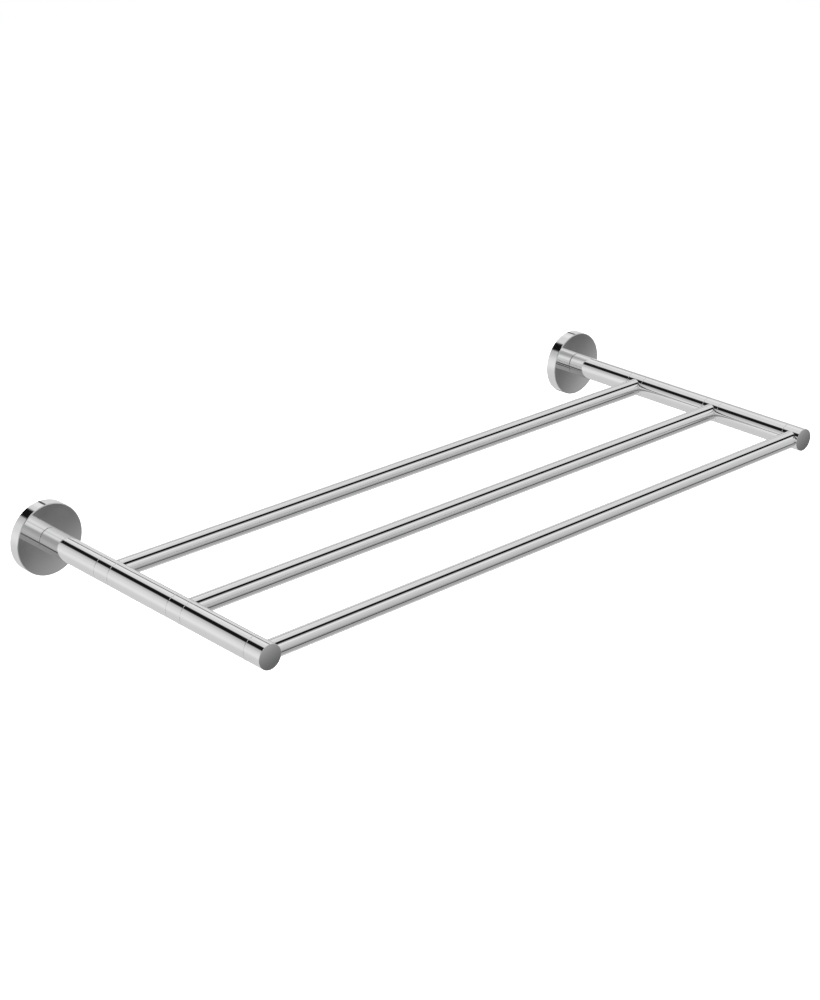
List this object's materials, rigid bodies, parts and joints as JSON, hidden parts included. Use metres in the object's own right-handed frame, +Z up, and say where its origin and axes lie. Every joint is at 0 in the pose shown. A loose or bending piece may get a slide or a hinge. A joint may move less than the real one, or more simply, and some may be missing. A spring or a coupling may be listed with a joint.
{
  "type": "towel rack",
  "caption": "Wall-mounted chrome towel rack: two round arms on round wall flanges carry three level parallel rails.",
  "frame": {"origin": "on the wall plane, midway between the two arms, at the height of their axes", "axes": "+X along the rails, to the right seen from the room; +Y into the wall; +Z up. The arms stand out towards -Y."},
  "size_m": [0.66, 0.2805, 0.06],
  "materials": {
    "chrome": "polished",
    "zinc_plated_steel": "satin",
    "black_oxide_steel": "satin",
    "brass": "satin"
  },
  "bodies": {
    "root": {"left_wall_plate": "zinc_plated_steel", "right_wall_plate": "zinc_plated_steel", "left_flange": "chrome", "right_flange": "chrome", "left_flange_grub_screw": "black_oxide_steel", "right_flange_grub_screw": "black_oxide_steel", "left_tie_rod": "zinc_plated_steel", "right_tie_rod": "zinc_plated_steel", "left_tie_rod_nut": "zinc_plated_steel", "right_tie_rod_nut": "zinc_plated_steel", "left_tie_rod_washer": "zinc_plated_steel", "right_tie_rod_washer": "zinc_plated_steel", "left_rear_spacer_tube": "chrome", "right_rear_spacer_tube": "chrome", "left_middle_spacer_tube": "chrome", "right_middle_spacer_tube": "chrome", "left_front_spacer_tube": "chrome", "right_front_spacer_tube": "chrome", "left_rear_tee": "chrome", "right_rear_tee": "chrome", "left_middle_tee": "chrome", "right_middle_tee": "chrome", "left_front_tee": "chrome", "right_front_tee": "chrome", "rear_rail": "chrome", "middle_rail": "chrome", "front_rail": "chrome", "left_rear_rail_plug": "brass", "right_rear_rail_plug": "brass", "left_middle_rail_plug": "brass", "right_middle_rail_plug": "brass", "left_front_rail_plug": "brass", "right_front_rail_plug": "brass"}
  },
  "joints": []
}
